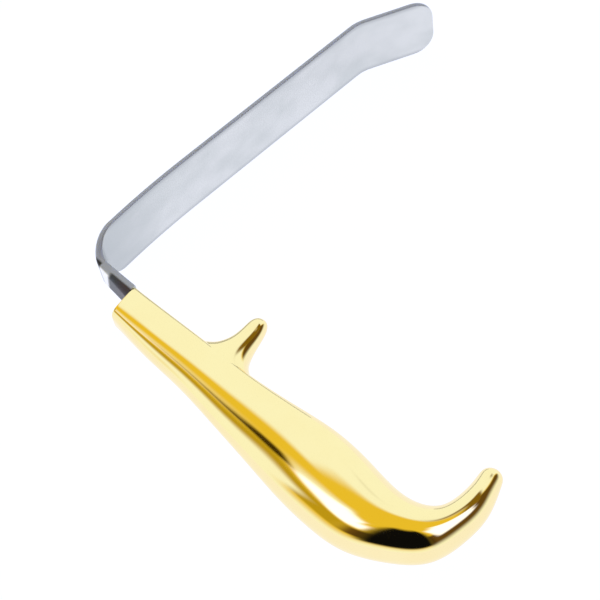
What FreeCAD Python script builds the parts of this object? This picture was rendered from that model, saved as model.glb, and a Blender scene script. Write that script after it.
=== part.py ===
import FreeCAD, Part
import math
import os

# A multi-purpose surgical retractor, in millimetres.
# A steel strip is bent at a knee: its long leg is the blade, its short leg the neck. The neck's tang
# is pinned in a block that fills the nose of a hollow handle, pressed in two halves and welded.
# The profile lies in the XY plane, with the blade along +X and the handle down -Y, and the width
# of every piece is along Z. The instrument rests on its side, so +Z is up.
# The profile is drawn from the outer corner of the knee. At the end every piece is moved together,
# so that the origin is the middle of the bounding box, at the bottom.

# Blade
blade_width = 25.0
blade_thickness = 1.8
blade_length = 134.0
tip_bend_angle = 25.0
tip_bend_radius = 15.0
tip_length = 30.0
tip_corner_radius = 8.5
edge_round = 0.65

# Knee and neck: the blade bows gently towards the knee, then narrows and thickens through it
lead_in_start = 45.0
lead_in_radius = 340.0
knee_radius = 8.0
shoulder_run = 3.0
neck_width = 10.8
neck_thickness = 3.3
neck_length = 24.7
root_thickness = 4.8
knee_back_round = 1.2
root_back_round = 2.4

# Tang, block and pins inside the nose
tang_width = 6.0
tang_thickness = 1.8
tang_length = 32.0
tang_setback = 2.4
tang_clearance = 0.05
block_end = 2.5
pin_diameter = 2.5
pin_margin = 8.0

# Handle shells and their weld
shell_wall = 1.2
mouth_wall = 1.6
seam_width = 0.8
seam_depth = 0.6
braze_leg = 1.0
braze_end_gap = 2.6

# Handle outline: front point and back point across the handle, each as (x, drop below the mouth),
# then x of the widest line between them, half the thickness there, and how square the section is
# in front of that line and behind it (2 is an ellipse).
handle_stations = [
    ((1.9, 0.0), (-11.4, 2.2), -5.4, neck_width / 2, 5.0, 4.0),
    ((2.6, 19.3), (-13.1, 20.3), -6.0, 5.4, 4.8, 2.4),
    ((3.2, 37.3), (-13.8, 37.3), -5.3, 5.8, 4.6, 2.3),
    ((3.9, 57.0), (-15.8, 57.0), -4.7, 6.6, 4.0, 2.2),
    ((6.0, 75.3), (-18.0, 75.3), -4.7, 7.9, 3.2, 2.1),
    ((7.9, 92.5), (-20.0, 92.5), -5.6, 9.3, 2.6, 2.1),
    ((7.3, 105.0), (-20.4, 104.5), -6.5, 9.6, 2.3, 2.1),
    ((6.1, 117.0), (-18.6, 118.4), -6.2, 9.3, 2.1, 2.1),
    ((7.0, 124.5), (-12.8, 130.1), -2.9, 8.7, 2.0, 2.0),
    ((9.6, 129.2), (-3.9, 139.7), 2.85, 7.8, 2.0, 2.0),
    ((14.0, 131.5), (8.6, 142.9), 11.3, 6.7, 2.0, 2.0),
    ((21.5, 131.9), (20.5, 142.0), 21.0, 5.3, 2.0, 2.0),
]
heel_tip_centre = (27.5, 135.0)
heel_tip_radius = 3.9
heel_tip_half_thickness = 3.8
heel_rise = 16.0
hollow_stations = 11

# Finger stop: sections along +X, each as x, drop of its top, drop of its underside, half width
stop_stations = [
    (-1.0, 24.0, 68.0, 5.6),
    (2.0, 29.9, 59.6, 5.4),
    (5.5, 35.2, 51.7, 4.9),
    (10.5, 37.6, 47.8, 4.0),
    (17.0, 37.7, 45.5, 3.2),
]
stop_tip_centre = (19.2, 41.0)
stop_tip_reach = 3.5
stop_tip_half_height = 3.2
stop_tip_half_width = 2.9
stop_squareness = 2.3
root_plug_length = 8.0
root_plug_width = 5.0
root_plug_stand_in = 1.0
root_plug_drop = 2.0
root_plug_bite = 2.0

SECTION_POINTS = 32
KNEE_SECTIONS = 11
SHOULDER_BIAS = 0.8
BRAZE_FULLNESS = 0.65
DOME_ANGLES = (30.0, 55.0, 74.0, 87.0)
FAR = 400.0
UP = FreeCAD.Vector(0, 0, 1)


def at(x, y, z=0.0):
    return FreeCAD.Vector(x, y, z)


def below_mouth(x, drop):
    """Point of the handle, whose drops are measured from the front corner of its mouth."""
    return at(x, -neck_length - drop)


# Blade, knee, neck and tang


def strip_wire(outer, inward, width, thickness, back_round=edge_round):
    """Rounded rectangle across the strip, from the middle of its outer face.

    The two corners on the outer face may be rounder than those on the inner face.
    """
    half = width / 2
    low, high = outer, outer + inward * thickness
    back_soft = back_round * (1 - math.sqrt(0.5))
    soft = edge_round * (1 - math.sqrt(0.5))
    a = low + UP * (half - back_round)
    b = low + UP * (half - back_soft) + inward * back_soft
    c = low + UP * half + inward * back_round
    d = high + UP * half - inward * edge_round
    e = high + UP * (half - soft) - inward * soft
    f = high + UP * (half - edge_round)
    g = high - UP * (half - edge_round)
    h = high - UP * (half - soft) - inward * soft
    i = high - UP * half - inward * edge_round
    j = low - UP * half + inward * back_round
    k = low - UP * (half - back_soft) + inward * back_soft
    m = low - UP * (half - back_round)
    return Part.Wire([
        Part.Arc(a, b, c).toShape(), Part.makeLine(c, d),
        Part.Arc(d, e, f).toShape(), Part.makeLine(f, g),
        Part.Arc(g, h, i).toShape(), Part.makeLine(i, j),
        Part.Arc(j, k, m).toShape(), Part.makeLine(m, a),
    ])


def lead_in_angle():
    """Turn of the gentle bow, after which the knee takes the rest of the right angle."""
    return math.asin((lead_in_start - knee_radius) / (lead_in_radius - knee_radius))


def knee_end():
    """How far below the blade the knee's curve ends and the straight neck begins."""
    turn = lead_in_angle()
    return lead_in_radius * (1 - math.cos(turn)) + knee_radius * math.cos(turn)


def inner_path(run):
    """Point on the strip's inner face and the direction into the knee, from the bow's start on."""
    bow = lead_in_radius * lead_in_angle()
    if run <= bow:
        turn = run / lead_in_radius
        centre = at(lead_in_start, -lead_in_radius)
        radius = lead_in_radius
    else:
        turn = lead_in_angle() + (run - bow) / knee_radius
        centre = at(knee_radius, -knee_end())
        radius = knee_radius
    inward = at(math.sin(turn), -math.cos(turn))
    return centre - inward * (radius - blade_thickness), inward


def knee_wire(share):
    """Section of the strip at a share of the way from the shoulders' start to the neck."""
    bow = lead_in_radius * lead_in_angle()
    knee = knee_radius * (math.pi / 2 - lead_in_angle())
    inner, inward = inner_path(bow - shoulder_run + share * (shoulder_run + knee))
    ease = (1 - math.cos(math.pi * share ** SHOULDER_BIAS)) / 2
    width = blade_width + (neck_width - blade_width) * ease
    thickness = blade_thickness + (neck_thickness - blade_thickness) * share
    back_round = edge_round + (knee_back_round - edge_round) * share
    return strip_wire(inner - inward * thickness, inward, width, thickness, back_round)


def make_blade():
    down = at(0, -1)
    turn = math.radians(tip_bend_angle)
    tangent = tip_bend_radius * math.tan(turn / 2)
    bend_x = blade_length - tangent
    section = Part.Face(strip_wire(at(lead_in_start, 0), down, blade_width, blade_thickness))
    bow_turn = lead_in_angle() - shoulder_run / lead_in_radius
    bow = section.revolve(at(lead_in_start, -lead_in_radius), UP, math.degrees(bow_turn))
    working = section.extrude(at(bend_x - lead_in_start, 0))

    section.translate(at(bend_x - lead_in_start, 0))
    bend = section.revolve(at(bend_x, -tip_bend_radius), UP, -tip_bend_angle)

    # The tip is a plate with two rounded corners, drawn flat and then laid at the bend's end.
    plate_length = tip_length - tangent
    half = blade_width / 2
    straight = plate_length - tip_corner_radius
    corner = tip_corner_radius
    nook = corner * (1 - math.sqrt(0.5))
    outline = Part.Wire([
        Part.makeLine(at(0, 0, -half), at(straight, 0, -half)),
        Part.Arc(at(straight, 0, -half), at(plate_length - nook, 0, -half + nook),
                 at(plate_length, 0, -half + corner)).toShape(),
        Part.makeLine(at(plate_length, 0, -half + corner), at(plate_length, 0, half - corner)),
        Part.Arc(at(plate_length, 0, half - corner), at(plate_length - nook, 0, half - nook),
                 at(straight, 0, half)).toShape(),
        Part.makeLine(at(straight, 0, half), at(0, 0, half)),
        Part.makeLine(at(0, 0, half), at(0, 0, -half)),
    ])
    plate = Part.Face(outline).extrude(at(0, -blade_thickness))
    rims = [edge for edge in plate.Edges
            if edge.BoundBox.XMax > 0.01 and edge.BoundBox.YLength < 0.01]
    plate = plate.makeFillet(edge_round, rims)
    plate.rotate(at(0, 0), UP, -tip_bend_angle)
    plate.translate(at(bend_x + tip_bend_radius * math.sin(turn),
                       -tip_bend_radius * (1 - math.cos(turn))))

    sections = [knee_wire(n / (KNEE_SECTIONS - 1)) for n in range(KNEE_SECTIONS)]
    knee = Part.makeLoft(sections, True, False)

    # The neck runs on past the mouth and is cut off there, and the tang goes on into the handle.
    neck_inner = blade_thickness
    past = neck_length + blade_width
    run = (past - knee_end()) / (neck_length - knee_end())
    thickness_past = neck_thickness + (root_thickness - neck_thickness) * run
    round_past = knee_back_round + (root_back_round - knee_back_round) * run
    neck = Part.makeLoft([
        strip_wire(at(neck_inner - neck_thickness, -knee_end()), at(1, 0),
                   neck_width, neck_thickness, knee_back_round),
        strip_wire(at(neck_inner - thickness_past, -past), at(1, 0),
                   neck_width, thickness_past, round_past),
    ], True, True)
    neck = neck.cut(beyond_mouth())
    blade = working.fuse([bow, bend, plate, knee, neck, tang_solid()])
    blade = blade.cut(pin_solids())
    return blade.removeSplitter()


def root_slope():
    """How fast the neck thickens towards the mouth, on its outer face."""
    return (root_thickness - neck_thickness) / (neck_length - knee_end())


def mouth_line():
    """Front corner of the mouth and the direction of the mouth's plane from back to front."""
    front, back = (below_mouth(*point) for point in handle_stations[0][:2])
    return front, (front - back).normalize()


def beyond_mouth():
    """Everything on the handle's side of the plane in which its mouth lies."""
    front, along = mouth_line()
    down = at(along.y, -along.x)
    corners = [front + along * FAR, front - along * FAR,
               front - along * FAR + down * FAR, front + along * FAR + down * FAR]
    face = Part.Face(Part.makePolygon(corners + corners[:1]))
    face.translate(UP * -FAR)
    return face.extrude(UP * (2 * FAR))


def tang_box(clearance=0.0):
    front = blade_thickness - tang_setback + clearance
    back = blade_thickness - tang_setback - tang_thickness - clearance
    half = tang_width / 2 + clearance
    top = -neck_length + root_thickness
    bottom = -neck_length - tang_length - clearance
    return Part.makeBox(front - back, top - bottom, 2 * half, at(back, bottom, -half))


def tang_solid():
    """The tang, with the part of it above the mouth taken off, where the neck is."""
    return tang_box().common(beyond_mouth())


def pin_solids():
    """Two cross pins through block and tang, as long as the space between the shells is deep."""
    pins = []
    for drop in (pin_margin, tang_length - pin_margin):
        pins.append(Part.makeCylinder(pin_diameter / 2, 2 * FAR, below_mouth(-FAR, drop), at(1, 0)))
    return Part.makeCompound(pins).common(handle_space())


def braze_solid():
    """Braze fillet between the neck's outer face and the end of the nose."""
    front, along = mouth_line()
    up_neck = at(root_slope(), 1).normalize()
    face_foot = at(blade_thickness - root_thickness, -neck_length)
    # The corner is where the neck's outer face meets the mouth's plane.
    across = at(-along.y, along.x)
    corner = face_foot + up_neck * ((front - face_foot).dot(across) / up_neck.dot(across))
    on_mouth = corner - along * braze_leg
    on_neck = corner + up_neck * braze_leg
    hollow = corner + ((on_mouth + on_neck) * 0.5 - corner) * BRAZE_FULLNESS
    outline = Part.Wire([
        Part.makeLine(corner, on_mouth),
        Part.Arc(on_mouth, hollow, on_neck).toShape(),
        Part.makeLine(on_neck, corner),
    ])
    half = neck_width / 2 - braze_end_gap
    outline.translate(UP * -half)
    return Part.Face(outline).extrude(UP * (2 * half))


# Handle


def oval(front, back, half_thickness, squareness, share=0.5, back_squareness=None, inset=0.0):
    """Points of a closed curve across a piece, made of two halves of ovals or rounded rectangles.

    The halves meet on the widest line, which lies at a share of the way from front to back.
    The points start on the near cheek and pass the back, the far cheek and the front in turn.
    """
    across = front - back
    centre = front - across * share
    front_depth = across.Length * share - inset
    back_depth = across.Length * (1 - share) - inset
    half_height = half_thickness - inset
    across.normalize()
    points = []
    for step in range(SECTION_POINTS):
        angle = 2 * math.pi * (step / SECTION_POINTS + 0.25)
        c = math.cos(angle)
        s = math.sin(angle)
        depth, power = front_depth, squareness
        if c < 0:
            depth, power = back_depth, back_squareness or squareness
        size = abs(c / depth) ** power + abs(s / half_height) ** power
        radius = size ** (-1 / power)
        points.append(centre + across * (radius * c) + UP * (radius * s))
    return points


def skin(sections):
    """Solid with one smooth side through closed sections and a flat face at each end."""
    rings = []
    for points in sections:
        ring = Part.BSplineCurve()
        ring.interpolate(Points=points, PeriodicFlag=True,
                         Parameters=[float(step) for step in range(len(points) + 1)])
        rings.append(ring)
    columns = list(zip(*[ring.getPoles() for ring in rings]))
    stations = [0.0]
    for before, after in zip(rings[:-1], rings[1:]):
        steps = [a.distanceToPoint(b) for a, b in zip(before.getPoles(), after.getPoles())]
        stations.append(stations[-1] + sum(steps) / len(steps))
    lines = []
    for column in columns:
        line = Part.BSplineCurve()
        line.interpolate(Points=list(column), Parameters=stations)
        lines.append(line)
    surface = Part.BSplineSurface()
    surface.buildFromPolesMultsKnots(
        [line.getPoles() for line in lines], rings[0].getMultiplicities(), lines[0].getMultiplicities(),
        rings[0].getKnots(), lines[0].getKnots(), True, False, rings[0].Degree, lines[0].Degree)
    side = surface.toShape()
    ends = [Part.Face(Part.Wire([surface.vIso(v).toShape()])) for v in (stations[0], stations[-1])]
    shell = Part.makeShell([side] + ends)
    shell.sewShape()
    solid = Part.Solid(shell)
    if solid.Volume < 0:
        solid.reverse()
    return solid


def heel_dome(inset):
    """Sections that close the heel with a round end."""
    axis = at(math.cos(math.radians(heel_rise)), math.sin(math.radians(heel_rise)))
    across = at(-axis.y, axis.x)
    centre = below_mouth(*heel_tip_centre)
    radius = heel_tip_radius - inset
    half = heel_tip_half_thickness - inset
    sections = []
    for angle in (0.0,) + DOME_ANGLES:
        shrink = math.cos(math.radians(angle))
        middle = centre + axis * (radius * math.sin(math.radians(angle)))
        reach = across * (radius * shrink)
        sections.append(oval(middle + reach, middle - reach, half * shrink, 2.0))
    return sections


def handle_sections(inset, count, mouth_shift):
    sections = []
    for number, station in enumerate(handle_stations[:count]):
        front, back, widest, half_thickness, squareness, back_squareness = station
        shift = at(0, mouth_shift if number == 0 else 0.0)
        share = (front[0] - widest) / (front[0] - back[0])
        sections.append(oval(below_mouth(*front) + shift, below_mouth(*back) + shift,
                             half_thickness, squareness, share, back_squareness, inset))
    return sections


def handle_outside():
    return skin(handle_sections(0.0, None, 0.0) + heel_dome(0.0))


def handle_space():
    """The hollow of the handle, which stops before the heel's tip."""
    return skin(handle_sections(shell_wall, hollow_stations, -mouth_wall))


def seam_groove():
    """Thin slab on the parting plane, open where the handle lies deeper than the weld."""
    sections = handle_sections(seam_depth, None, seam_width) + heel_dome(seam_depth)
    fronts = [points[SECTION_POINTS * 3 // 4] for points in sections]
    backs = [points[SECTION_POINTS // 4] for points in sections]
    edge = Part.BSplineCurve()
    edge.interpolate(Points=fronts + backs[::-1])
    outline = Part.Wire([edge.toShape(), Part.makeLine(backs[0], fronts[0])])
    outline.translate(UP * -seam_width)
    core = Part.Face(outline).extrude(UP * (2 * seam_width))
    slab = Part.makeBox(FAR, FAR, seam_width, at(-FAR / 2, -FAR, -seam_width / 2))
    return slab.cut(core)


def stop_outside():
    sections = []
    for x, top, bottom, half_width in stop_stations:
        sections.append(oval(below_mouth(x, top), below_mouth(x, bottom), half_width, stop_squareness))
    x, drop = stop_tip_centre
    for angle in DOME_ANGLES:
        shrink = math.cos(math.radians(angle))
        reach = x + stop_tip_reach * math.sin(math.radians(angle))
        half_height = stop_tip_half_height * shrink
        sections.append(oval(below_mouth(reach, drop - half_height),
                             below_mouth(reach, drop + half_height),
                             stop_tip_half_width * shrink, stop_squareness))
    return skin(sections)


def stop_root():
    """Plug with round ends that goes through the front wall between the halves."""
    x, drop = stop_tip_centre
    surface = handle_stations[2][0][0]
    depth = shell_wall + root_plug_stand_in
    end_radius = root_plug_width / 2
    middle = drop + root_plug_drop
    reach = root_plug_length / 2 - end_radius
    top = below_mouth(surface - depth, middle - reach)
    bottom = below_mouth(surface - depth, middle + reach)
    outline = Part.Wire([
        Part.makeLine(top - UP * end_radius, bottom - UP * end_radius),
        Part.Arc(bottom - UP * end_radius, bottom - at(0, end_radius), bottom + UP * end_radius).toShape(),
        Part.makeLine(bottom + UP * end_radius, top + UP * end_radius),
        Part.Arc(top + UP * end_radius, top + at(0, end_radius), top - UP * end_radius).toShape(),
    ])
    return Part.Face(outline).extrude(at(depth + root_plug_bite, 0))


def make_pieces():
    outside = handle_outside()
    space = handle_space()
    groove = seam_groove()
    root = stop_root()
    stop = stop_outside().cut(outside).fuse(root).removeSplitter()
    tang_slot = tang_box(tang_clearance)
    seam = outside.common(groove).cut(root)
    shell = outside.cut(space)
    openings = [groove, root, tang_slot]
    near_side = Part.makeBox(FAR, FAR, FAR, at(-FAR / 2, -FAR, 0))
    far_side = Part.makeBox(FAR, FAR, FAR, at(-FAR / 2, -FAR, -FAR))

    block_depth = tang_length + block_end
    keep = Part.makeBox(FAR, block_depth + FAR, FAR, below_mouth(-FAR / 2, block_depth) - UP * (FAR / 2))
    pins = pin_solids()
    block = space.common(keep).cut([tang_slot, pins])

    blade = make_blade()
    return {
        "blade": blade,
        "handle_half_near": shell.common(near_side).cut(openings),
        "handle_half_far": shell.common(far_side).cut(openings),
        "seam_weld": seam,
        "finger_stop": stop,
        "tang_block": block,
        "tang_pins": pins,
        "mouth_braze": braze_solid(),
    }


def main():
    pieces = make_pieces()
    box = Part.makeCompound(list(pieces.values())).optimalBoundingBox(False)
    origin = at(box.Center.x, box.Center.y, box.ZMin)
    os.makedirs("parts", exist_ok=True)
    for name, piece in pieces.items():
        piece.translate(origin * -1)
        piece.exportStep(os.path.join("parts", name + ".step"))
        print(name, len(piece.Solids), "solids", round(piece.Volume, 1), "mm3", piece.isValid())
    print("size", [round(value, 2) for value in (box.XLength, box.YLength, box.ZLength)],
          "knee corner at", [round(-value, 3) for value in (origin.x, origin.y, origin.z)])


main()
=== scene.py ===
# %% [markdown]
# This scene dresses a hand-held surgical retractor: a satin steel blade bent at a knee, on a polished and
# plated hollow handle with a finger stop and a hooked butt. The solids come in as a fixed frame, and the
# scene gives them finishes, light and a camera.

# %% Load the frame
import math

import bmesh
import bpy
import numpy as np
from mathutils import Matrix, Vector


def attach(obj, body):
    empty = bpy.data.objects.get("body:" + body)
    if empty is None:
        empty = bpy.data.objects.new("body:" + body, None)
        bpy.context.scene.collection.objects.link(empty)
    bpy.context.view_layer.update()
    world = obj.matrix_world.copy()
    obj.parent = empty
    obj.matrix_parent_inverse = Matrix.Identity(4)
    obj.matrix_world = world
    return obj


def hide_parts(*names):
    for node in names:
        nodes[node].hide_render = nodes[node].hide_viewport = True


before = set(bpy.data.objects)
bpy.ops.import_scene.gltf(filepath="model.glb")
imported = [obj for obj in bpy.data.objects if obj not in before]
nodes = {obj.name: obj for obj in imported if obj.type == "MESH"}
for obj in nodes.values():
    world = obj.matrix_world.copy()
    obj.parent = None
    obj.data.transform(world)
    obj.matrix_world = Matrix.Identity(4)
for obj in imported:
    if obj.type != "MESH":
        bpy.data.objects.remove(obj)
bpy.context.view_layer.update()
print("solids", sorted(nodes))

# %% [markdown]
# The solids are drawn from the outer corner of the knee, with the blade along +X and the handle down -Y.
# The same corner is the start of every measure here, so that a piece can be made from the drawing's sizes.

# %% Places
MM = 0.001
KNEE = Vector((-70.284, 83.895, 12.5))


def place(x, y, z=0.0):
    """Point of the scene, in metres, from millimetres off the knee's corner."""
    return (KNEE + Vector((x, y, z))) * MM


print("knee's corner at", [round(c, 4) for c in place(0.0, 0.0)])

# %% [markdown]
# The camera looks down at the instrument, which lies on its side. Its direction was found by fitting the
# outline of the solids to the photograph: 35 degrees round, 53 degrees up, and a roll of 11 degrees.

# %% Camera
AIM = place(40.0, -60.0)
DISTANCE = 0.5
AZIMUTH = math.radians(-34.98)
ELEVATION = math.radians(52.75)
ROLL = math.radians(-11.4)
FOCAL_PX = 1485.31
CENTRE_PX = (290.54, 280.37)
FRAME_PX = 600
SENSOR_MM = 36.0

camera = bpy.data.objects.new("camera", bpy.data.cameras.new("camera"))
bpy.context.scene.collection.objects.link(camera)
bpy.context.scene.camera = camera
back = Vector((math.sin(AZIMUTH) * math.cos(ELEVATION),
               -math.cos(AZIMUTH) * math.cos(ELEVATION),
               math.sin(ELEVATION)))
camera.location = AIM + back * DISTANCE
level = (-back).to_track_quat("-Z", "Y")
camera.rotation_mode = "QUATERNION"
camera.rotation_quaternion = level @ Matrix.Rotation(ROLL, 3, "Z").to_quaternion()
camera.data.sensor_width = SENSOR_MM
camera.data.lens = SENSOR_MM * FOCAL_PX / FRAME_PX
camera.data.shift_x = (FRAME_PX / 2 - CENTRE_PX[0]) / FRAME_PX
camera.data.shift_y = -(FRAME_PX / 2 - CENTRE_PX[1]) / FRAME_PX
camera.data.clip_start = 0.01
camera.data.clip_end = 10.0
print("camera at", [round(c, 3) for c in camera.location])

# %% [markdown]
# Shader maths reads best as plain expressions. One small class stands for a node tree and adds its nodes.
# The other wraps a node's socket, so that adding or multiplying two sockets adds the Math node for it.

# %% Shader expressions


class Tree:
    """A node tree that is written as expressions."""

    def __init__(self, node_tree):
        self.nodes = node_tree.nodes
        self.links = node_tree.links

    def wire(self, socket, value):
        if isinstance(value, Wire):
            self.links.new(value.socket, socket)
        elif socket.type == "RGBA" and len(value) == 3:
            socket.default_value = (*value, 1.0)
        else:
            socket.default_value = value

    def add(self, kind, inputs=(), output=0, **settings):
        node = self.nodes.new(kind)
        for name, value in settings.items():
            setattr(node, name, value)
        for key, value in dict(inputs).items():
            self.wire(node.inputs[key], value)
        return Wire(self, node.outputs[output])

    def mix(self, factor, first, second):
        """First colour at factor 0, second colour at factor 1."""
        node = self.nodes.new("ShaderNodeMix")
        node.data_type = "RGBA"
        inputs = {socket.identifier: socket for socket in node.inputs}
        self.wire(inputs["Factor_Float"], factor)
        self.wire(inputs["A_Color"], first)
        self.wire(inputs["B_Color"], second)
        return Wire(self, next(s for s in node.outputs if s.identifier == "Result_Color"))

    def step(self, value, low, high):
        """Rises smoothly from 0 at low to 1 at high."""
        return self.add("ShaderNodeMapRange", {0: value, 1: low, 2: high}, interpolation_type="SMOOTHSTEP")

    def magnitude(self, value):
        return self.add("ShaderNodeMath", {0: value}, operation="ABSOLUTE")

    def larger(self, first, second):
        return self.add("ShaderNodeMath", {0: first, 1: second}, operation="MAXIMUM")


class Wire:
    """One socket of a tree. Arithmetic on it adds Math nodes."""

    def __init__(self, tree, socket):
        self.tree = tree
        self.socket = socket

    def maths(self, operation, first, second):
        return self.tree.add("ShaderNodeMath", {0: first, 1: second}, operation=operation)

    def __add__(self, other):
        return self.maths("ADD", self, other)

    def __radd__(self, other):
        return self.maths("ADD", other, self)

    def __sub__(self, other):
        return self.maths("SUBTRACT", self, other)

    def __rsub__(self, other):
        return self.maths("SUBTRACT", other, self)

    def __mul__(self, other):
        return self.maths("MULTIPLY", self, other)

    def __rmul__(self, other):
        return self.maths("MULTIPLY", other, self)


def material(name):
    """New material, its tree and its main shader."""
    made = bpy.data.materials.new(name)
    made.use_nodes = True
    return made, Tree(made.node_tree), made.node_tree.nodes["Principled BSDF"]


# %% [markdown]
# Every finish here is worked out in its shader, with no image. That takes two things: a cloudy pattern,
# and the place on the drawing, so that a tint can start at a known distance from the knee.

# %% Noise and places for the materials


def noise(tree, point, scale, detail=2.0, stretch=(1.0, 1.0, 1.0)):
    """Cloudy pattern between 0 and 1, with a number of clouds to the metre."""
    spread = tree.add("ShaderNodeMapping", {"Vector": point, "Scale": stretch})
    return tree.add("ShaderNodeTexNoise", {"Vector": spread, "Scale": scale, "Detail": detail})


def parts_of(tree, vector):
    """The three numbers of a vector."""
    split = tree.nodes.new("ShaderNodeSeparateXYZ")
    tree.wire(split.inputs[0], vector)
    return [Wire(tree, socket) for socket in split.outputs]


def from_knee(tree, point):
    """Place in millimetres from the outer corner of the knee, as on the drawing."""
    return [number * 1000.0 - start for number, start in zip(parts_of(tree, point), KNEE)]


def dress(finish, *names):
    """Give solids of the frame a finish."""
    for name in names:
        nodes[name].data.materials.clear()
        nodes[name].data.materials.append(finish)
        print(name, "has", finish.name)


# %% [markdown]
# The blade has the satin look of blasted or brushed steel, with soft clouds instead of reflections. One
# noise gives the clouds, a finer one the grain, and a third one drawn out along the blade the brushing.
# Its colour is darker near the knee and along its borders, which is painted shade, and its edges get a
# duller, bluish grey with less Metallic, which is painted shade and reflection on their rounding.

# %% Satin steel
DULL_CLOUD = (0.66, 0.68, 0.65)
LIGHT_CLOUD = (0.78, 0.79, 0.76)
# Painted shade near the knee and along the borders, and painted shade and bluish reflection on the edges
KNEE_PAINTED_SHADE = (0.48, 0.51, 0.50)
BORDER_PAINTED_SHADE = (0.46, 0.48, 0.48)
EDGE_PAINTED_SHADE = (0.42, 0.47, 0.58)

STEEL, tree, shader = material("satin steel")
point = tree.add("ShaderNodeTexCoord", output="Object")
x, y, z = from_knee(tree, point)
normal = tree.add("ShaderNodeNewGeometry", output="Normal")
facing_x, facing_y, facing_z = [tree.magnitude(number) for number in parts_of(tree, normal)]

clouds = tree.step(noise(tree, point, 42.0, 3.0, (1.0, 1.0, 1.4)), 0.35, 0.65)
grain = noise(tree, point, 2600.0, 1.0)
brushing = noise(tree, point, 500.0, 2.0, (0.12, 0.12, 3.0))
colour = tree.mix(clouds, DULL_CLOUD, LIGHT_CLOUD)
# Painted shade: the blade gets darker towards the knee
knee_painted_shade = 1.0 - tree.step(x, -5.0, 42.0)
colour = tree.mix(knee_painted_shade * 0.7, colour, KNEE_PAINTED_SHADE)
# Painted shade: the blade gets darker along its upper and lower borders
border_painted_shade = tree.step(tree.magnitude(z), 9.9, 12.4)
colour = tree.mix(border_painted_shade * 0.75, colour, BORDER_PAINTED_SHADE)
# Painted shade and a bluish painted reflection on the rounded edges, which also get less Metallic
edge_painted_shade = tree.step(facing_z, 0.25, 0.8)
colour = tree.mix(edge_painted_shade, colour, EDGE_PAINTED_SHADE)
print("steel has", len(STEEL.node_tree.nodes), "nodes so far")

# %% [markdown]
# The neck's outer face is painted white under the knee, a painted reflection, and nearly black further
# down, blue and then brown towards the handle. A small black spot on the knee is a painted dark
# reflection. Nothing shows whether these are tints or reflections of what stood around it. They are made
# as tints here, the dark part like the film that heat leaves on steel, blue and then brown. The Metallic
# value comes down on the nearly black part, on the spot and on the blade's edges.

# %% Neck: painted reflections and a dark part
# A painted white reflection, the dark neck's blue and brown, and a painted dark reflection
PAINTED_REFLECTION_WHITE = (1.0, 1.0, 1.0)
DARK_NECK_BLUE = (0.035, 0.045, 0.065)
DARK_NECK_BROWN = (0.045, 0.030, 0.045)
PAINTED_DARK_REFLECTION = (0.004, 0.005, 0.008)

down = 0.0 - y
outside = 1.0 - tree.step(x, -0.7, 0.2)
# Painted reflection: white on the neck's outer face under the knee
painted_reflection = tree.step(facing_x, 0.5, 0.9) * outside * tree.step(down, 8.0, 10.0)
colour = tree.mix(painted_reflection, colour, PAINTED_REFLECTION_WHITE)
# Nearly black further down the neck's outer face, blue and then brown towards the handle
dark_neck = outside * tree.step(down + 0.3 * (0.0 - z), 12.0, 14.0)
dark_neck_colour = tree.mix(tree.step(down, 16.0, 23.0), DARK_NECK_BLUE, DARK_NECK_BROWN)
colour = tree.mix(dark_neck, colour, dark_neck_colour)
# Painted dark reflection: a small black spot on the outside of the knee
dark_spot_reflection = tree.step(z, 3.0, 5.5) * (1.0 - tree.step(x, -0.2, 0.8))
dark_spot_reflection = dark_spot_reflection * tree.step(down, 4.0, 6.0) * (1.0 - tree.step(down, 8.5, 9.5))
colour = tree.mix(dark_spot_reflection, colour, PAINTED_DARK_REFLECTION)

tree.wire(shader.inputs["Base Color"], colour)
# Metallic comes down on the painted edges, the dark neck and the painted dark spot
less_metallic = tree.larger(tree.larger(edge_painted_shade, dark_neck), dark_spot_reflection)
tree.wire(shader.inputs["Metallic"], 1.0 - 0.85 * less_metallic)
tree.wire(shader.inputs["Roughness"], 0.34 + 0.06 * grain + 0.05 * clouds)
relief = 0.5 * grain + brushing
bump = tree.add("ShaderNodeBump", {"Height": relief, "Strength": 0.05, "Distance": 0.00003})
tree.wire(shader.inputs["Normal"], bump)
dress(STEEL, "blade")
print("steel has", len(STEEL.node_tree.nodes), "nodes")

# %% [markdown]
# The handle looks like polished steel with a thin gold plating. A mirror finish is never quite even: a
# buffing wheel leaves faint waves and a haze that changes from place to place. The waves are a very
# shallow bump, and the haze is a little roughness.

# %% Gold plating
PURE_GOLD = (0.98, 0.84, 0.45)
HAZY_GOLD = (0.965, 0.80, 0.40)

GOLD, tree, shader = material("gold plate")
point = tree.add("ShaderNodeTexCoord", output="Object")
haze = noise(tree, point, 90.0, 3.0)
waves = noise(tree, point, 160.0, 1.0, (1.0, 0.5, 1.0))
tree.wire(shader.inputs["Base Color"], tree.mix(haze, PURE_GOLD, HAZY_GOLD))
shader.inputs["Metallic"].default_value = 1.0
tree.wire(shader.inputs["Roughness"], 0.03 + 0.05 * haze)
bump = tree.add("ShaderNodeBump", {"Height": waves, "Strength": 0.25, "Distance": 0.00005})
tree.wire(shader.inputs["Normal"], bump)
dress(GOLD, "handle_half_near", "handle_half_far", "seam_weld", "finger_stop")

# %% [markdown]
# The photograph hardly shows the mouth of the handle and doesn't show its inside, so these two finishes
# are guesses. The braze is a dull yellow bead with the ripples of cooled metal, and the block and pins
# inside the nose are plain turned steel.

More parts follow.
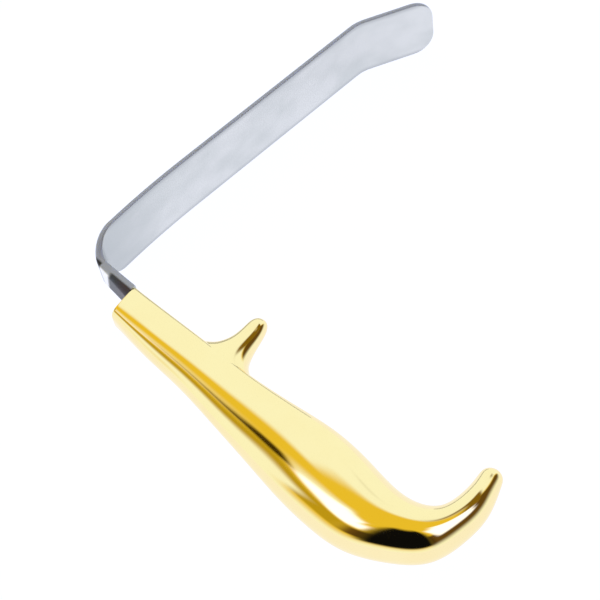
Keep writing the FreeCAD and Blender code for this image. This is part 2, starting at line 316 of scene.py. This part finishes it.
# %% Braze and inner steel
BRAZE, tree, shader = material("braze")
point = tree.add("ShaderNodeTexCoord", output="Object")
ripple = noise(tree, point, 900.0, 2.0)
tree.wire(shader.inputs["Base Color"], tree.mix(ripple, (0.30, 0.24, 0.14), (0.62, 0.52, 0.30)))
shader.inputs["Metallic"].default_value = 1.0
tree.wire(shader.inputs["Roughness"], 0.35 + 0.2 * ripple)
bump = tree.add("ShaderNodeBump", {"Height": ripple, "Strength": 0.5, "Distance": 0.0001})
tree.wire(shader.inputs["Normal"], bump)
dress(BRAZE, "mouth_braze")

INNER, tree, shader = material("inner steel")
point = tree.add("ShaderNodeTexCoord", output="Object")
tool_marks = noise(tree, point, 700.0, 1.0, (0.1, 3.0, 0.1))
tree.wire(shader.inputs["Base Color"], tree.mix(tool_marks, (0.48, 0.49, 0.50), (0.62, 0.63, 0.64)))
shader.inputs["Metallic"].default_value = 1.0
tree.wire(shader.inputs["Roughness"], 0.3 + 0.15 * tool_marks)
dress(INNER, "tang_block", "tang_pins")

# %% [markdown]
# The solid of the blade has the right shape, but it comes as loose triangles, each with its own shade.
# A copy is merged and shaded smoothly, with weighted normals that keep the broad faces flat. Nothing in it
# moves, so the satin blade stands just where the solid stood.

# %% Blade
MERGE = 0.001 * MM
SHARP = math.radians(40.0)


def mesh_object(bm, name, finish):
    """Object at the origin with the mesh of a bmesh, which is used up."""
    mesh = bpy.data.meshes.new(name)
    bm.to_mesh(mesh)
    bm.free()
    mesh.materials.append(finish)
    made = bpy.data.objects.new(name, mesh)
    bpy.context.scene.collection.objects.link(made)
    return made


def stand_for(piece, solid_name):
    """Let a piece ride on the one body, in the place of a solid."""
    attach(piece, "root")
    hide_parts(solid_name)
    print(piece.name, "has", len(piece.data.polygons), "faces")


bm = bmesh.new()
bm.from_mesh(nodes["blade"].data)
bmesh.ops.remove_doubles(bm, verts=bm.verts, dist=MERGE)
for face in bm.faces:
    face.smooth = True
for bm_edge in bm.edges:
    bm_edge.smooth = bm_edge.calc_face_angle(0.0) < SHARP
blade = mesh_object(bm, "satin_blade", STEEL)
weighted = blade.modifiers.new("even faces", "WEIGHTED_NORMAL")
weighted.keep_sharp = True
stand_for(blade, "blade")

# %% [markdown]
# A mirror shows every kink in a surface, so the handle is skinned again with more and smoother rings than
# the solid's triangles give. The rings come from the drawing's stations down the handle. The nose is a
# rounded rectangle that fits the strip, the grip swells into an oval for the palm, and the heel turns
# forwards into a hook, so the stations turn with it. Each station is two half ovals that meet on its
# widest line, because the front of the grip is squarer than its back.

# %% Handle stations
NECK_LENGTH = 24.7
ELLIPSE = 2.0
# Front and back point as (x, drop below the mouth), place of the widest line across, half thickness,
# squareness in front of that line and behind it
HANDLE_STATIONS = [
    ((1.9, 0.0), (-11.4, 2.2), -5.4, 5.4, 5.0, 4.0),
    ((2.6, 19.3), (-13.1, 20.3), -6.0, 5.4, 4.8, 2.4),
    ((3.2, 37.3), (-13.8, 37.3), -5.3, 5.8, 4.6, 2.3),
    ((3.9, 57.0), (-15.8, 57.0), -4.7, 6.6, 4.0, 2.2),
    ((6.0, 75.3), (-18.0, 75.3), -4.7, 7.9, 3.2, 2.1),
    ((7.9, 92.5), (-20.0, 92.5), -5.6, 9.3, 2.6, 2.1),
    ((7.3, 105.0), (-20.4, 104.5), -6.5, 9.6, 2.3, 2.1),
    ((6.1, 117.0), (-18.6, 118.4), -6.2, 9.3, 2.1, 2.1),
    ((7.0, 124.5), (-12.8, 130.1), -2.9, 8.7, ELLIPSE, ELLIPSE),
    ((9.6, 129.2), (-3.9, 139.7), 2.85, 7.8, ELLIPSE, ELLIPSE),
    ((14.0, 131.5), (8.6, 142.9), 11.3, 6.7, ELLIPSE, ELLIPSE),
    ((21.5, 131.9), (20.5, 142.0), 21.0, 5.3, ELLIPSE, ELLIPSE),
]
HEEL_TIP = (27.5, 135.0)
HEEL_TIP_RADIUS = 3.9
HEEL_TIP_HALF_THICKNESS = 3.8
HEEL_RISE = math.radians(16.0)
DOME_ANGLES = [math.radians(a) for a in (30.0, 55.0, 74.0, 87.0)]
RING_POINTS = 96


def below_mouth(x, drop):
    return Vector((x, -NECK_LENGTH - drop, 0.0))


def oval(front, back, half_thickness, squareness, widest=None, back_squareness=None):
    """Ring of points across a piece, an ellipse or a rounded rectangle, or one half of each."""
    share = 0.5 if widest is None else (front.x - widest) / (front.x - back.x)
    centre = front.lerp(back, share)
    across = front - back
    depths = across.length * share, across.length * (1 - share)
    across.normalize()
    back_squareness = back_squareness or squareness
    points = []
    for number in range(RING_POINTS):
        angle = 2 * math.pi * (number / RING_POINTS + 0.25)
        c, s = math.cos(angle), math.sin(angle)
        depth, power = (depths[0], squareness) if c > 0 else (depths[1], back_squareness)
        reach = (abs(c / depth) ** power + abs(s / half_thickness) ** power) ** (-1 / power)
        points.append(centre + across * (reach * c) + Vector((0, 0, reach * s)))
    return points


handle_rings = []
for front, back, widest, half, squareness, back_squareness in HANDLE_STATIONS:
    handle_rings.append(oval(below_mouth(*front), below_mouth(*back), half, squareness,
                             widest, back_squareness))
axis = Vector((math.cos(HEEL_RISE), math.sin(HEEL_RISE), 0))
across = Vector((-axis.y, axis.x, 0))
for angle in [0.0] + DOME_ANGLES:
    shrink = math.cos(angle)
    middle = below_mouth(*HEEL_TIP) + axis * (HEEL_TIP_RADIUS * math.sin(angle))
    reach = across * (HEEL_TIP_RADIUS * shrink)
    handle_rings.append(oval(middle + reach, middle - reach, HEEL_TIP_HALF_THICKNESS * shrink, ELLIPSE))
print("handle has", len(handle_rings), "stations")

# %% [markdown]
# A natural cubic spline runs through the stations, point by point, so that the reflections bend evenly
# from one station to the next. The equations for how much it bends at each station are solved together.

# %% Spline through the rings


def smooth_rings(rings, count):
    """Rings of a natural cubic spline through the given rings, which leaves no kink in a reflection."""
    values = np.array([[tuple(p) for p in ring] for ring in rings]).reshape(len(rings), -1)
    moves = np.diff(values, axis=0).reshape(len(rings) - 1, -1, 3)
    gaps = np.linalg.norm(moves, axis=2).mean(axis=1)
    stations = np.concatenate([[0.0], np.cumsum(gaps)])
    last = len(stations) - 1
    system = np.eye(len(stations))
    right = np.zeros_like(values)
    for i in range(1, last):
        system[i, i - 1:i + 2] = gaps[i - 1], 2 * (gaps[i - 1] + gaps[i]), gaps[i]
        right[i] = 6 * ((values[i + 1] - values[i]) / gaps[i] - (values[i] - values[i - 1]) / gaps[i - 1])
    bend = np.linalg.solve(system, right)
    made = []
    for along in np.linspace(0, stations[-1], count):
        i = min(np.searchsorted(stations, along, side="right") - 1, last - 1)
        to_next, from_last = stations[i + 1] - along, along - stations[i]
        gap = gaps[i]
        point = (bend[i] * to_next ** 3 + bend[i + 1] * from_last ** 3) / (6 * gap)
        point += (values[i] / gap - bend[i] * gap / 6) * to_next
        point += (values[i + 1] / gap - bend[i + 1] * gap / 6) * from_last
        made.append(point.reshape(-1, 3))
    return made


HANDLE_RINGS = 220
smooth_handle = smooth_rings(handle_rings, HANDLE_RINGS)
print("handle has", len(smooth_handle), "rings")

# %% [markdown]
# The photograph shows no seam. A hollow handle like this can be two pressed half shells that are welded
# along the middle plane and ground flush. So the skin is drawn out from one circle, ring by ring, and then
# sliced on both sides of the weld. The slices keep the shading that the whole skin had, or a line would
# show along the weld.

# %% Handle skin
MOUTH_ROUND = 0.3 * MM
HALF_SEAM = 0.4


def skin(rings):
    """A closed bmesh drawn out ring by ring from a circle, with its first end's edge rounded."""
    bm = bmesh.new()
    step = bm.verts.layers.int.new("step")
    made = bmesh.ops.create_circle(bm, segments=RING_POINTS, radius=1.0, cap_ends=False)
    for number, vert in enumerate(made["verts"]):
        vert[step] = number
    edges = list(bm.edges)
    start = list(edges)
    for vert in bm.verts:
        vert.co = place(*rings[0][vert[step]])
    for ring in rings[1:]:
        drawn = bmesh.ops.extrude_edge_only(bm, edges=edges)["geom"]
        edges = [e for e in drawn if isinstance(e, bmesh.types.BMEdge)]
        for vert in drawn:
            if isinstance(vert, bmesh.types.BMVert):
                vert.co = place(*ring[vert[step]])
    ends = [bmesh.ops.contextual_create(bm, geom=rim)["faces"][0] for rim in (start, edges)]
    bmesh.ops.recalc_face_normals(bm, faces=bm.faces)
    for face in bm.faces:
        face.smooth = face not in ends
    bmesh.ops.bevel(bm, geom=start, offset=MOUTH_ROUND, affect="EDGES", segments=3, profile=0.5, material=-1)
    bm.normal_update()
    stored = bm.verts.layers.float_vector.new("skin_normal")
    for vert in bm.verts:
        vert[stored] = vert.normal
    return bm


def slice_of(whole, name, low=None, high=None):
    """The slice of a skin between two heights, closed on its cut faces, as a polished piece."""
    bm = whole.copy()
    for height, above in ((low, True), (high, False)):
        if height is None:
            continue
        everything = bm.verts[:] + bm.edges[:] + bm.faces[:]
        cut = bmesh.ops.bisect_plane(bm, geom=everything, plane_co=place(0, 0, height), plane_no=(0, 0, 1),
                                     clear_inner=above, clear_outer=not above)
        rim = [e for e in cut["geom_cut"] if isinstance(e, bmesh.types.BMEdge)]
        for face in bmesh.ops.contextual_create(bm, geom=rim)["faces"]:
            face.smooth = False
    bmesh.ops.recalc_face_normals(bm, faces=bm.faces)
    piece = mesh_object(bm, name, GOLD)
    stored = piece.data.attributes["skin_normal"].data
    shading = []
    for polygon in piece.data.polygons:
        for corner in polygon.vertices:
            shading.append(stored[corner].vector.normalized() if polygon.use_smooth else polygon.normal)
    piece.data.normals_split_custom_set(shading)
    return piece


handle = skin(smooth_handle)
stand_for(slice_of(handle, "polished_half_near", low=HALF_SEAM), "handle_half_near")
stand_for(slice_of(handle, "polished_half_far", high=-HALF_SEAM), "handle_half_far")
stand_for(slice_of(handle, "polished_seam", -HALF_SEAM, HALF_SEAM), "seam_weld")
handle.free()

# %% [markdown]
# The finger stop is a stub that stands out of the front of the grip, so that a finger can pull against
# it. It flares where it meets the grip and ends in a round tip. It is skinned like the handle, with rings
# from inside the grip out to the tip.

# %% Finger stop
# Distance out, top and bottom edge below the mouth, half width
STOP_STATIONS = [
    (-1.0, 24.0, 68.0, 5.6),
    (2.0, 29.9, 59.6, 5.4),
    (5.5, 35.2, 51.7, 4.9),
    (10.5, 37.6, 47.8, 4.0),
    (17.0, 37.7, 45.5, 3.2),
]
STOP_TIP = (19.2, 41.0)
STOP_TIP_REACH = 3.5
STOP_TIP_HALF = 3.2
STOP_TIP_HALF_WIDTH = 2.9
STOP_SQUARENESS = 2.3
STOP_RINGS = 80

stop_rings = []
for out, top, bottom, half in STOP_STATIONS:
    stop_rings.append(oval(below_mouth(out, top), below_mouth(out, bottom), half, STOP_SQUARENESS))
for angle in DOME_ANGLES:
    out = STOP_TIP[0] + STOP_TIP_REACH * math.sin(angle)
    half = STOP_TIP_HALF * math.cos(angle)
    stop_rings.append(oval(below_mouth(out, STOP_TIP[1] - half), below_mouth(out, STOP_TIP[1] + half),
                           STOP_TIP_HALF_WIDTH * math.cos(angle), STOP_SQUARENESS))
stop = skin(smooth_rings(stop_rings, STOP_RINGS))
stand_for(slice_of(stop, "polished_finger_stop"), "finger_stop")
stop.free()

# %% [markdown]
# Polished metal shows its surroundings, so the surroundings are part of the look. What stood around the
# real instrument isn't in the photograph, only its reflections in the gold are. So this is a stand-in that
# gives like reflections, painted by direction, one soft-edged patch over the other. The patches were
# placed in the directions that the gold mirrors, then moved and coloured with a fit to the photograph,
# and rounded. The camera itself sees plain white. Bearings go round from +Y towards +X, and heights up
# from the horizon, in degrees.

# %% Surroundings
WHITE = (1.0, 1.0, 1.0)
PALE = (1.0, 1.08, 1.12)
DAYLIGHT = (1.4, 1.5, 2.3)
AMBER = (0.84, 0.61, 0.05)
DEEP_AMBER = (0.52, 0.36, 0.015)
DIM_AMBER = (0.22, 0.13, 0.008)
BROWN = (0.13, 0.07, 0.012)
DEEP_BROWN = (0.045, 0.025, 0.0)
DARK = (0.004, 0.004, 0.005)
DEGREES = 180 / math.pi

world = bpy.data.worlds.new("studio")
bpy.context.scene.world = world
world.use_nodes = True
world.node_tree.nodes.clear()
sky = Tree(world.node_tree)
east, north, up = parts_of(sky, sky.add("ShaderNodeTexCoord", output="Generated"))
bearing_of = sky.add("ShaderNodeMath", {0: east, 1: north}, operation="ARCTAN2") * DEGREES
height_of = sky.add("ShaderNodeMath", {0: up}, operation="ARCSINE") * DEGREES


def paint(under, over, bearing, half_width, low, high, soft_round, soft_high):
    """The surroundings so far, with one more patch over them."""
    turned = sky.add("ShaderNodeMath", {0: bearing_of - bearing, 1: 180.0, 2: -180.0}, operation="WRAP")
    beside = sky.step(sky.magnitude(turned), half_width - soft_round, half_width + soft_round)
    above = sky.step(height_of, low - soft_high, low + soft_high)
    higher = sky.step(height_of, high - soft_high, high + soft_high)
    return sky.mix((1.0 - beside) * above * (1.0 - higher), under, over)


# Amber all over, brown low down on the camera's right and deeper amber on its left
colour = paint(AMBER, BROWN, 148.0, 50.0, -5.0, 56.0, 6.0, 5.0)
colour = paint(colour, DEEP_AMBER, -49.0, 27.0, 24.0, 49.0, 7.0, 4.0)
# Pale on the far side, low down all round, and low down on the left
colour = paint(colour, PALE, 55.0, 39.0, -100.0, 60.0, 6.0, 4.0)
colour = sky.mix(1.0 - sky.step(height_of, 0.0, 26.0), colour, PALE)
colour = paint(colour, PALE, -32.0, 23.0, -20.0, 38.0, 4.0, 6.0)
# A bright bluish light on the left, in two parts, over a softer pale glare
colour = paint(colour, PALE, -38.0, 24.0, 54.0, 74.0, 14.0, 3.0)
colour = paint(colour, DAYLIGHT, -52.0, 27.0, 52.5, 72.0, 6.0, 3.5)
colour = paint(colour, DAYLIGHT, -72.0, 23.0, 52.0, 65.0, 6.0, 5.0)
# Another bright bluish light on the right, also in two parts
colour = paint(colour, DAYLIGHT, 148.0, 30.0, 49.0, 75.0, 6.0, 5.0)
colour = paint(colour, DAYLIGHT, 155.0, 24.0, 41.0, 60.0, 6.0, 5.0)
# Three smaller dark patches between the lights and the pale parts
colour = paint(colour, DEEP_BROWN, -17.0, 6.5, 44.0, 52.6, 4.0, 2.0)
colour = paint(colour, BROWN, -94.0, 14.0, 24.0, 48.0, 12.0, 4.0)
colour = paint(colour, DIM_AMBER, 92.0, 26.0, 43.5, 60.0, 6.0, 3.0)
# Nearly black in the direction of the camera
colour = paint(colour, DARK, -133.0, 34.0, 16.0, 82.0, 9.0, 5.0)

studio = sky.add("ShaderNodeBackground", {0: colour, 1: 1.0})
plain = sky.add("ShaderNodeBackground", {0: WHITE, 1: 1.0})
to_camera = sky.add("ShaderNodeLightPath", output="Is Camera Ray")
shown = sky.add("ShaderNodeMixShader", {0: to_camera, 1: studio, 2: plain})
world_output = sky.nodes.new("ShaderNodeOutputWorld")
sky.wire(world_output.inputs["Surface"], shown)
print("surroundings have", len(world.node_tree.nodes), "nodes")

# %% [markdown]
# The photograph's background is plain white with hardly a shadow. A sheet of paper stands for it. To the
# camera and in the metal it mostly glows, with a faint blue tint that suits its reflection in the gold, and
# only a small share of it is lit like paper, which keeps the instrument's soft shadow.

# %% Floor
HALF_SIZE = 1.5
PAPER = (0.95, 0.95, 0.95)
GLOW = (1.02, 1.05, 1.2)
GLOW_SHARE = 0.96

paper, tree, shader = material("paper")
tree.wire(shader.inputs["Base Color"], PAPER)
shader.inputs["Roughness"].default_value = 0.9
glow = tree.add("ShaderNodeEmission", {0: GLOW, 1: 1.0})
path = tree.nodes.new("ShaderNodeLightPath")
camera_ray, glossy_ray, transmission_ray = [
    Wire(tree, path.outputs[kind]) for kind in ("Is Camera Ray", "Is Glossy Ray", "Is Transmission Ray")]
seen = tree.larger(tree.larger(camera_ray, glossy_ray), transmission_ray)
lit = Wire(tree, shader.outputs[0])
mixed = tree.add("ShaderNodeMixShader", {0: seen * GLOW_SHARE, 1: lit, 2: glow})
tree.wire(tree.nodes["Material Output"].inputs["Surface"], mixed)

bm = bmesh.new()
bmesh.ops.create_grid(bm, x_segments=1, y_segments=1, size=HALF_SIZE)
floor = mesh_object(bm, "floor", paper)
bpy.context.scene.view_settings.view_transform = "Standard"
print("floor is", HALF_SIZE * 2, "m wide")
